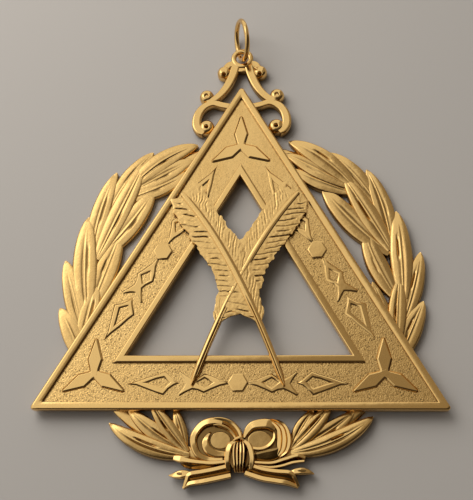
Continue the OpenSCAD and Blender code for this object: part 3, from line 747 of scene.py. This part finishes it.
def build_quills():
    vanes, shafts = Shape(), Shape()
    build_feather(vanes, False, FRONT_LIFT, 21)
    build_feather(vanes, True, 0.0, 31)
    build_shaft(shafts, False, FRONT_LIFT)
    build_shaft(shafts, True, -BACK_DROP)
    add_piece("quill_vanes", vanes, ["crossed_quills"], struck, sharp=60)
    add_piece("quill_shafts", shafts, ["crossed_quills"], polished, sharp=60)


# Laurel wreath

# Leaves: angle in degrees from the bow and reach as a share of BAND_R, of the root and of
# the tip, breadth as a share of LEAF_W, sweep outwards, and rise as a share of LEAF_T
LEFT_LEAVES = [
    [17, 1.0, 43.0, 0.96, 0.66, 0.02, 0.8], [17, 1.0, 38.5, 0.84, 0.6, 0.01, 0.9],
    [18, 0.98, 28.0, 0.8, 0.48, 0.0, 0.8], [16, 1.02, 44.0, 1.1, 0.68, 0.04, 1.0],
    [72, 0.97, 93.0, 0.81, 0.64, 0.0, 0.7], [66, 1.04, 86.0, 1.12, 0.8, -0.01, 0.85],
    [72, 1.02, 95.5, 0.9, 0.8, 0.0, 0.9], [74, 0.99, 102.0, 1.13, 0.84, 0.0, 0.85],
    [83, 0.95, 118.5, 1.11, 1.0, 0.02, 1.0], [86, 0.92, 118.5, 0.87, 0.9, 0.0, 0.85],
    [104, 0.97, 136.0, 1.17, 0.78, 0.03, 0.85], [105, 0.94, 145.5, 1.11, 0.84, 0.0, 1.0],
    [106, 0.93, 142.0, 0.91, 0.92, -0.02, 0.85], [126, 1.03, 149.5, 1.14, 0.74, 0.02, 0.8],
    [132, 0.98, 158.0, 0.9, 0.8, -0.01, 0.8], [137, 0.99, 161.5, 0.98, 0.76, 0.0, 0.9],
    [136, 1.02, 164.5, 1.07, 0.84, 0.04, 1.0],
]
RIGHT_LEAVES = [
    [18, 1.0, 43.5, 0.99, 0.66, 0.02, 0.8], [18, 0.99, 39.5, 0.87, 0.62, 0.01, 0.9],
    [19, 0.98, 32.0, 0.84, 0.54, -0.01, 0.8], [18, 1.01, 46.5, 1.09, 0.72, 0.04, 1.0],
    [66, 1.04, 87.5, 1.12, 0.8, 0.0, 0.85], [76, 0.95, 95.5, 0.82, 0.5, 0.0, 0.7],
    [80, 1.01, 103.5, 1.15, 0.74, 0.01, 0.8], [88, 0.97, 118.0, 0.88, 0.82, -0.02, 0.85],
    [88, 1.0, 119.0, 1.12, 0.88, 0.01, 1.0], [70, 1.01, 96.0, 0.99, 0.72, -0.01, 1.0],
    [106, 0.98, 136.0, 1.16, 0.78, 0.03, 0.85], [107, 0.98, 139.5, 1.02, 0.82, 0.0, 1.0],
    [106, 0.97, 143.5, 0.88, 0.94, -0.02, 0.85], [125, 1.05, 149.0, 1.12, 0.74, 0.02, 0.8],
    [134, 0.98, 158.5, 0.91, 0.74, -0.01, 0.8], [136, 1.0, 163.5, 1.0, 0.72, 0.0, 0.9],
    [136, 1.02, 163.5, 1.09, 0.84, 0.03, 1.0],
]
# A leaf: share of its length, and half width and height there as shares of its own
LEAF_FORM = [[0.00, 0.40, 0.80], [0.24, 0.84, 0.93], [0.50, 1.00, 1.00], [0.76, 0.78, 0.97],
             [0.93, 0.40, 0.82], [1.00, 0.08, 0.60]]
# A leaf's section: share of the way out from its midrib, and height as a share of its rise
LEAF_SECTION = [[0.00, 1.00], [0.06, 0.97], [0.11, 0.76], [0.17, 0.76], [0.34, 0.90],
                [0.56, 0.89], [0.78, 0.82], [0.88, 0.72], [0.95, 0.48], [0.98, 0.26],
                [1.00, 0.04]]

# The side that the folds drop towards, away from the light
LEE = (0.5, -0.87)
LEAF_ROWS = 56
LEAF_COLUMNS = 45
# Leaves below the first angle are cut deepest, right ones past the second turned most
LOW_ANGLE = 20
HIGH_ANGLE = 86


def on_wreath(hand, angle, reach):
    """A place on the left or the right branch."""
    a = math.radians(angle)
    return BAND_R * reach * np.array([hand * math.sin(a), -math.cos(a)])


def build_leaf(shape, hand, row, seed, relief, turn):
    """A leaf with a midrib, flutes and a short slit. Relief scales its section, and turn
    leans it across to the lee, in millimetres at its edge."""
    root_angle, root_reach, tip_angle, tip_reach, breadth, sweep, rise = row
    draw = np.random.RandomState(seed)
    start = on_wreath(hand, root_angle, root_reach)
    tip = on_wreath(hand, tip_angle, tip_reach)
    outward = left_of(unit(tip - start)) * -hand
    bend = (start + tip) / 2 + outward * 2 * sweep * BAND_R
    t = 1 - np.linspace(1, 0, LEAF_ROWS) ** 1.25
    centres, ways = curve(start, bend, tip, t)
    half = column(LEAF_FORM, t, 1) * breadth * LEAF_W / 2
    crown = rise * LEAF_T * column(LEAF_FORM, t, 2)
    side = np.linspace(-1, 1, LEAF_COLUMNS)
    spread = np.sign(side) * np.abs(side) ** 0.9

    # The fluted section and a plain one, mixed along the leaf and from side to side
    section = column(LEAF_SECTION, np.abs(spread))
    plain = np.clip(1 - (0.98 * np.abs(spread)) ** 4, 0, 1) ** (1 / 4)
    fluted = ease(t / 0.2) * ease((draw.uniform(0.85, 1.05) - t) / 0.35)
    strong = draw.choice([-1, 1])
    sides = np.where(spread * strong > 0, draw.uniform(0.8, 1.2), draw.uniform(0.2, 0.7))
    profile = plain + (section - plain) * fluted[:, None] * sides

    slit_at = draw.choice([-1, 1]) * draw.uniform(0.16, 0.30)
    slit_from = draw.uniform(0.25, 0.45)
    slit_long = draw.uniform(0.22, 0.36)
    held = ease((t - slit_from) / 0.1) * ease((slit_from + slit_long - t) / 0.1)
    slit = np.exp(-((spread - slit_at) / 0.07) ** 2) * held[:, None]
    slit = slit * draw.uniform(0.3, 1.0)

    edge = LEAF_EDGE_T * 1.3
    body = np.maximum(crown - edge, 0.35) * relief
    z = edge + body[:, None] * (profile - 0.45 * slit)
    z += turn * (left_of(ways) @ unit(LEE))[:, None] * spread
    xy = beside(centres, ways, spread * half[:, None])
    # Painted shade in the slit, along the rim and in the creases
    dull = np.maximum(0.9 * slit, 0.6 * (np.abs(spread) > 0.985))
    crease_shade = 0.55 * relief * ease(6 * (plain - profile))
    shape.strip(xy, z, 0.02, np.maximum(dull, crease_shade))


def build_wreath():
    """Both branches, and the flat band that carries their leaves behind the triangle."""
    leaves, band = Shape(), Shape()
    for hand, rows in ((-1, LEFT_LEAVES), (1, RIGHT_LEAVES)):
        for i, row in enumerate(rows):
            relief = 1.3 if row[0] < LOW_ANGLE else 0.5 if hand < 0 else 1.0
            turn = 0 if hand < 0 else 0.24 if row[0] > HIGH_ANGLE else 0.1
            build_leaf(leaves, hand, row, 100 + i + 50 * (hand > 0), relief, turn)
    half = BAND_W / 2
    band.hoop((0, 0), BAND_R, [
        [-half, 0.0], [-half, 0.6], [-half * 0.8, 0.82], [-half * 0.3, 0.9],
        [half * 0.3, 0.9], [half * 0.8, 0.82], [half, 0.6], [half, 0.0]], 180)
    add_piece("wreath_leaves", leaves, ["laurel_wreath"], satin, sharp=60)
    add_piece("wreath_band", band, ["laurel_wreath"], struck, sharp=60)


# Ribbon bow

KNOT = np.array([0.0, -BAND_R])
BOW_Z = BAND_T + FIT_GAP
# Low discs: centre from the knot, half widths, height as a share of BOW_T, and painted shade
BOW_DISCS = [
    [-4.2, 3.8, 5.2, 3.9, 0.28, 0.95],
    [5.8, 3.9, 4.5, 3.8, 0.28, 0.85],
    [-3.4, 3.7, 2.1, 1.75, 0.4, 0.25],
    [4.4, 3.7, 2.4, 1.9, 0.55, 0.2],
    [0.5, 0.5, 2.2, 2.9, 0.8, 0.9],
    [-11.3, -2.95, 0.55, 0.28, 0.93, 0.8],
    [12.7, -2.25, 0.85, 0.18, 0.93, 0.8],
]
# Sections of a band: share of its half width to its left, and height as a share of the
# band's own. The first leans to its lee.
SLANTED = [[-1.0, 0.1], [-0.96, 0.6], [-0.88, 0.78], [-0.7, 0.86], [-0.1, 0.93],
           [0.5, 1.0], [0.76, 0.95], [0.9, 0.66], [1.0, 0.1]]
HOLLOW = [[-1.0, 0.1], [-0.95, 0.66], [-0.8, 0.92], [-0.45, 0.96], [-0.2, 0.6],
          [0.05, 0.5], [0.25, 0.88], [0.7, 0.98], [0.86, 0.94], [0.95, 0.7], [1.0, 0.1]]
FALLING = [[-1.0, 0.05], [-0.9, 0.34], [-0.5, 0.36], [0.5, 0.22], [0.9, 0.1], [1.0, 0.05]]
PLEATED = [[-1.0, 0.1], [-0.95, 0.6], [-0.85, 0.82], [-0.36, 0.98], [-0.28, 0.68],
           [-0.2, 0.82], [0.26, 1.0], [0.34, 0.7], [0.43, 0.84], [0.84, 1.0], [0.95, 0.7],
           [1.0, 0.1]]
KNOTTED = [[-1.0, 0.05], [-0.93, 0.6], [-0.82, 0.84], [-0.6, 0.92], [-0.5, 0.5],
           [-0.42, 0.9], [-0.16, 0.98], [-0.07, 0.55], [0.02, 0.94], [0.28, 1.0],
           [0.37, 0.52], [0.45, 0.93], [0.66, 0.96], [0.73, 0.5], [0.8, 0.84],
           [0.93, 0.58], [1.0, 0.05]]
# Bands of the ribbon: section, then rows of x and y from the knot, half width, and height
# as a share of BOW_T
BOW_BANDS = [
    (SLANTED, [[-2.9, -0.1, 0.5, 0.6], [-5.9, 0.0, 0.6, 0.66], [-7.8, 0.9, 0.7, 0.76],
               [-8.6, 2.6, 0.74, 0.88], [-8.7, 4.2, 0.76, 0.95], [-7.9, 5.75, 0.8, 1.0],
               [-6.6, 6.9, 0.82, 1.04], [-4.8, 7.35, 0.88, 1.06], [-3.0, 7.1, 0.84, 1.02]]),
    (HOLLOW, [[-5.6, 7.1, 0.3, 0.9], [-4.6, 7.25, 0.9, 1.04], [-3.0, 7.1, 1.1, 1.06],
              [-1.35, 6.4, 1.15, 1.02], [-0.2, 5.2, 1.1, 0.96], [0.3, 3.9, 0.9, 0.9]]),
    (SLANTED, [[-5.3, 5.3, 0.1, 0.66], [-6.0, 4.3, 0.5, 0.84], [-6.35, 3.1, 0.8, 0.92],
               [-5.8, 1.8, 0.92, 0.9], [-4.3, 1.0, 0.84, 0.8], [-2.2, 0.9, 0.6, 0.7]]),
    (SLANTED, [[1.3, 4.2, 0.35, 0.7], [2.0, 5.5, 0.75, 0.84], [3.0, 6.5, 0.95, 0.92],
               [4.6, 6.85, 1.1, 0.98], [6.2, 6.8, 1.15, 0.98], [7.6, 6.1, 1.1, 0.8]]),
    (PLEATED, [[6.5, 7.6, 0.3, 0.9], [7.9, 6.9, 0.9, 1.06], [8.85, 5.9, 1.25, 1.06],
               [9.2, 4.5, 1.5, 1.04], [9.2, 3.1, 1.6, 0.98], [8.9, 1.8, 1.3, 0.86],
               [8.1, 0.7, 0.6, 0.66]]),
    (FALLING, [[8.7, 2.0, 0.5, 1.4], [7.5, 1.15, 1.1, 1.4], [5.8, 0.75, 1.2, 1.3],
               [4.2, 0.55, 0.9, 1.2], [2.8, 0.6, 0.5, 1.0]]),
    (SLANTED, [[7.25, 5.2, 0.12, 0.95], [7.25, 3.9, 0.36, 1.12], [6.4, 2.7, 0.42, 1.12],
               [4.9, 2.0, 0.4, 1.06], [3.2, 2.1, 0.34, 0.95], [2.2, 2.9, 0.24, 0.8]]),
    (SLANTED, [[-1.6, -0.45, 0.4, 0.84], [-4.8, -0.8, 0.46, 0.84], [-7.2, -0.7, 0.44, 0.84],
               [-9.7, -0.4, 0.56, 0.82], [-11.3, -0.05, 0.78, 0.78], [-12.6, 0.2, 0.55, 0.62]]),
    (SLANTED, [[-1.4, -1.35, 0.52, 0.9], [-4.4, -2.08, 0.54, 0.96], [-6.9, -2.57, 0.54, 0.98],
               [-9.3, -3.05, 0.52, 0.98], [-9.9, -4.2, 0.42, 0.9], [-10.4, -5.6, 0.3, 0.66]]),
    (SLANTED, [[-8.8, -3.0, 0.3, 0.8], [-9.7, -2.95, 0.7, 0.88], [-11.0, -3.05, 0.9, 0.88],
               [-12.3, -3.2, 0.62, 0.72], [-13.5, -3.2, 0.1, 0.46]]),
    (SLANTED, [[-1.2, -3.2, 0.58, 0.82], [-3.9, -3.8, 0.6, 0.88], [-6.9, -4.4, 0.6, 0.88],
               [-9.3, -4.8, 0.52, 0.82], [-10.6, -5.65, 0.32, 0.62]]),
    (SLANTED, [[2.4, -0.55, 0.3, 0.84], [6.6, -0.75, 0.36, 0.84], [9.4, 0.0, 0.4, 0.88],
               [11.8, 0.7, 0.42, 0.88], [13.4, 0.3, 0.36, 0.7]]),
    (SLANTED, [[3.0, -1.0, 0.26, 0.7], [6.2, -1.5, 0.3, 0.7], [8.6, -1.3, 0.32, 0.74],
               [11.0, -0.6, 0.34, 0.76], [13.2, -0.3, 0.28, 0.66]]),
    (SLANTED, [[2.4, -1.15, 0.48, 0.9], [5.2, -2.0, 0.5, 0.96], [7.7, -2.38, 0.5, 0.98],
               [10.4, -2.62, 0.5, 0.98], [11.3, -3.6, 0.4, 0.9], [12.0, -5.2, 0.34, 0.66]]),
    (SLANTED, [[10.3, -2.7, 0.3, 0.8], [11.3, -2.45, 0.66, 0.88], [12.7, -2.3, 0.76, 0.88],
               [14.0, -2.4, 0.54, 0.72], [15.1, -2.75, 0.1, 0.46]]),
    (SLANTED, [[1.6, -2.7, 0.58, 0.82], [4.8, -3.72, 0.6, 0.88], [7.4, -4.15, 0.6, 0.88],
               [9.9, -4.55, 0.56, 0.84], [12.0, -5.3, 0.36, 0.62]]),
    (SLANTED, [[-0.9, 3.3, 0.22, 1.2], [0.35, 4.0, 0.34, 1.4], [1.6, 3.3, 0.22, 1.2]]),
    (SLANTED, [[0.0, 3.5, 0.35, 1.2], [-1.25, 2.6, 0.62, 1.36], [-1.8, 0.9, 0.68, 1.38],
               [-1.85, -0.9, 0.6, 1.2], [-1.6, -2.2, 0.44, 0.9]]),
    (SLANTED, [[1.3, 3.5, 0.35, 1.2], [2.4, 2.4, 0.62, 1.36], [2.95, 0.6, 0.66, 1.38],
               [2.95, -0.9, 0.6, 1.2], [2.7, -2.0, 0.44, 0.9]]),
    (KNOTTED, [[0.5, 3.6, 0.8, 1.1], [0.5, 2.9, 1.25, 1.42], [0.5, 1.8, 1.55, 1.56],
               [0.5, 0.2, 1.55, 1.6], [0.5, -1.3, 1.35, 1.4], [0.5, -2.6, 1.15, 0.9]]),
]
# Floors of the tails: upper and lower edge from the knot outwards, and the height of each
# edge as a share of BOW_T
TAIL_FLOORS = [
    ([(-1.2, -0.2), (-5.3, -0.2), (-8.1, -0.1), (-10.8, 0.0), (-12.2, 0.4)],
     [(-1.2, -1.3), (-4.3, -1.7), (-7.8, -1.9), (-10.0, -1.7), (-10.9, -1.3)], 0.5, 0.12),
    ([(-1.2, -1.0), (-4.6, -1.9), (-7.3, -2.5), (-9.4, -3.0)],
     [(-1.2, -3.3), (-4.0, -4.1), (-6.5, -4.6), (-9.8, -5.2)], 0.62, 0.12),
    ([(2.4, -0.7), (5.7, -0.7), (8.2, -0.2), (10.4, 0.5), (13.0, 0.4)],
     [(2.4, -1.5), (6.2, -1.6), (8.9, -1.35), (11.4, -0.75), (13.2, 0.0)], 0.5, 0.12),
    ([(2.2, -1.1), (4.5, -1.9), (7.5, -2.2), (10.8, -2.6)],
     [(1.9, -3.1), (3.6, -3.8), (6.0, -4.4), (11.6, -5.2)], 0.62, 0.12),
]


def build_band(shape, section, rows):
    """A band of the ribbon, with painted shade where its section is low."""
    line = smooth(rows, 9)
    centres = line[:, :2] + KNOT
    ways = unit(np.gradient(centres, axis=0))
    v = np.linspace(-1, 1, 33)
    lean = (1 + left_of(ways) @ unit(LEE)) / 2
    left, right = (np.interp(way * v, *np.array(section).T) for way in (1, -1))
    rise = left * lean[:, None] + right * (1 - lean[:, None]) if section is SLANTED else left
    edge = 0.30 * line[:, 3:4]
    z = BOW_Z + BOW_T * (edge + (line[:, 3:4] - edge) * rise)
    sunk = np.clip(1.25 - 1.6 * rise, 0, 0.9)
    shape.strip(beside(centres, ways, v * line[:, 2:3]), z, BOW_Z, sunk)


def build_tail_floor(shape, upper, lower, high_rise, low_rise):
    """A floor painted dark as shade between a tail's folds, from its upper to its lower edge."""
    t = np.linspace(0, 1, 25)
    edges = []
    for line in (upper, lower):
        line = smooth(np.array(line) + KNOT, 8)
        key = np.linspace(0, 1, len(line))
        edges.append(np.column_stack([np.interp(t, key, line[:, axis]) for axis in (0, 1)]))
    high, low = edges
    v = np.linspace(0, 1, 5)
    xy = high[:, None] + (low - high)[:, None] * v[:, None]
    rise = high_rise + (low_rise - high_rise) * v
    z = np.broadcast_to(BOW_Z + BOW_T * rise, xy.shape[:2])
    shape.sheet(xy, z, BOW_Z, np.full(xy.shape[:2], 0.85))


def build_bow():
    """The loops, the tails and the knot, and the discs behind the loops."""
    shape = Shape()
    for x, y, wide, high, rise, depth in BOW_DISCS:
        shape.disc(KNOT + (x, y), (wide, high), BOW_Z, BOW_Z + BOW_T * rise, depth)
    for floor in TAIL_FLOORS:
        build_tail_floor(shape, *floor)
    for section, rows in BOW_BANDS:
        build_band(shape, section, rows)
    add_piece("ribbon", shape, ["ribbon_bow"], polished, sharp=55)


# Scroll crest

# Strokes: X as a share of CREST_W, Y from the triangle's corner as a share of EYE_RISE, and
# width as a share of the usual
STEM = [[0.062, 0.82, 1.30], [0.100, 0.42, 1.30], [0.160, 0.02, 1.20], [0.245, -0.30, 1.05],
        [0.325, -0.44, 0.95], [0.385, -0.30, 0.80]]
ARM = [[0.030, -0.72, 1.00], [0.190, -0.62, 0.95], [0.300, -0.54, 0.95], [0.395, -0.66, 1.05],
       [0.455, -0.92, 1.25], [0.470, -1.24, 1.30], [0.440, -1.45, 1.15], [0.395, -1.56, 0.70]]
SHOULDER = [[0.074, 0.80, 1.12], [0.134, 0.79, 1.06], [0.184, 0.62, 1.00]]
# Volutes: centre as above, radius as a share of STROKE_W, and how far down its pit lies
VOLUTES = [[0.190, 0.55, 1.15, 0.50], [0.370, -0.28, 1.18, 0.10], [0.362, -1.33, 1.28, 0.12]]
# A stroke's half width as a share of STROKE_W, and the heights of its back and its edges as
# shares of CREST_T
STROKE_HALF = 0.56
STROKE_BACK = 0.97
STROKE_EDGE = 0.66
PIT_R = 0.36
PIT_DEPTH = 1.1


def build_stroke(shape, rows, hand):
    """A scroll's stroke, or its mirror image."""
    rows = [[x * CREST_W * hand, CORNER_R + y * EYE_RISE, w * STROKE_W * STROKE_HALF,
             CREST_Z + CREST_T * STROKE_BACK] for x, y, w in rows]
    edge = CREST_Z + CREST_T * STROKE_EDGE
    shape.strand(rows, CREST_Z, edge, power=5, dark=0.8)


def build_volute(shape, row, hand):
    """A round knob at a scroll's end, with a pit painted dark as shade."""
    x, y = row[0] * CREST_W * hand, CORNER_R + row[1] * EYE_RISE
    radius = row[2] * STROKE_W
    angle = circle(48)
    share = np.sin(np.linspace(np.pi / 2, 0.02, 22))
    px = x + radius * np.outer(share, np.cos(angle))
    py = y + radius * np.outer(share, np.sin(angle))
    dome = CREST_Z + CREST_T * (0.35 + 0.75 * np.clip(1 - share ** 4.0 * 0.98, 0, 1) ** 0.5)
    pit_y = y - row[3] * radius
    away = np.hypot(px - x, py - pit_y)
    pit = np.exp(-((away / PIT_R) ** 4))
    z = dome[:, None] - PIT_DEPTH * pit
    rings = np.stack([px, py, z], -1)
    foot = rings[:1].copy()
    foot[..., 2] = CREST_Z
    shape.tube(np.concatenate([foot, rings]), np.concatenate([np.zeros((1, len(angle))), pit]))


def build_eye(shape):
    """The flat rounded loop that the ring hangs in."""
    turn = circle(20)
    mid, wide = (EYE_D + EYE_HOLE_D) / 4, (EYE_D - EYE_HOLE_D) / 4
    out, up = (np.sign(way) * np.abs(way) ** 0.72 for way in (np.cos(turn), np.sin(turn)))
    section = np.column_stack([wide * out, EYE_Z + EYE_T / 2 * up])
    shape.hoop((0, EYE_Y), mid, section, 72)


def build_crest():
    """The pierced scrolls with their eye, and the flat tongue behind the triangle's corner."""
    shape, tongue = Shape(), Shape()
    for hand in (-1, 1):
        for rows in (STEM, ARM, SHOULDER):
            build_stroke(shape, rows, hand)
        for row in VOLUTES:
            build_volute(shape, row, hand)
    build_eye(shape)
    web = [(-1.35, EYE_Y - 3.3), (1.35, EYE_Y - 3.3), (1.0, EYE_Y - 2.3), (-1.0, EYE_Y - 2.3)]
    add_plateau(shape, [web], CREST_Z, CREST_Z + CREST_T * 0.9, CRISP)
    low = BAND_R + BAND_W / 2 + TONGUE_CLEARANCE
    high = CORNER_R - 2 * OUTER_BORDER_W - TONGUE_SETBACK
    reach = 2 * (EDGE_R - OUTER_BORDER_W)
    slope = math.tan(math.radians(30))
    outline = [(-(reach - low) * slope, low), ((reach - low) * slope, low),
               ((reach - high) * slope, high), (-(reach - high) * slope, high)]
    add_plateau(tongue, [outline], 0.0, BAND_T, CRISP)
    add_piece("crest_scrolls", shape, ["scroll_crest"], polished, sharp=60)
    add_piece("crest_tongue", tongue, ["scroll_crest"], filed)


# The pieces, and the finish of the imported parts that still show

build_frame()
build_ornaments()
build_quills()
build_wreath()
build_bow()
build_crest()

for name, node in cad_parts.items():
    if not node.hide_render:
        node.data.materials.clear()
        node.data.materials.append(polished if name == "suspension_ring" else filed)


# Floor and light

FLOOR_COLOUR = (0.40, 0.374, 0.346)
LAMP_COLOUR = (1.0, 0.98, 0.95)
# The room's bright, dim and dark sides
BRIGHT = (0.86, 0.85, 0.83)
DIM = (0.30, 0.262, 0.21)
DARK = (0.055, 0.045, 0.035)


def add_floor():
    """A plain pale floor, in metres."""
    data = bpy.data.meshes.new("floor")
    half = 0.6
    data.from_pydata([(-half, -half, 0), (half, -half, 0), (half, half, 0), (-half, half, 0)],
                     [], [(0, 1, 2, 3)])
    floor = add_object("floor", data)
    material = bpy.data.materials.new("pale_floor")
    material.use_nodes = True
    paint = material.node_tree.nodes["Principled BSDF"]
    paint.inputs["Base Color"].default_value = (*FLOOR_COLOUR, 1)
    paint.inputs["Roughness"].default_value = 0.9
    paint.inputs["Specular IOR Level"].default_value = 0.1
    data.materials.append(material)


def add_softbox(name, place, size, power, shines=True):
    """A square lamp that faces the jewel, in metres and watts. It may stay out of mirrors."""
    data = bpy.data.lights.new(name, "AREA")
    data.size = size
    data.energy = power
    data.color = LAMP_COLOUR
    light = add_object(name, data)
    light.location = place
    light.rotation_euler = (-Vector(place)).to_track_quat("-Z", "Y").to_euler()
    light.visible_glossy = shines


def add_room():
    """A soft room: bright above and to the left, dimmer to the right, and dark in front."""
    world = bpy.data.worlds.new("room")
    bpy.context.scene.world = world
    world.use_nodes = True
    tree = world.node_tree
    way = add_node(tree, "TexCoord", {}).outputs["Generated"]

    def along(direction, low, high):
        """How far a way points along a direction, as a soft step between two limits."""
        dot = add_node(tree, "VectorMath", {0: way, 1: direction}, operation="DOT_PRODUCT")
        return spanned(tree, dot.outputs["Value"], low, high, way="SMOOTHSTEP")

    sky = mixed(tree, along((1.0, -0.5, 0.155), -0.02, 0.035), BRIGHT, DIM)
    room = mixed(tree, along((-0.5, 1.0, 0.0), -0.34, -0.06), DARK, sky)
    back = tree.nodes["Background"]
    tree.links.new(room, back.inputs["Color"])
    back.inputs["Strength"].default_value = 1.0


add_floor()
add_room()
add_softbox("window", (-0.34, 0.26, 0.48), 0.30, 0.4)
add_softbox("sheet", (-0.16, 0.17, 0.22), 0.26, 0.85, shines=False)

bpy.context.scene.view_settings.view_transform = "Standard"
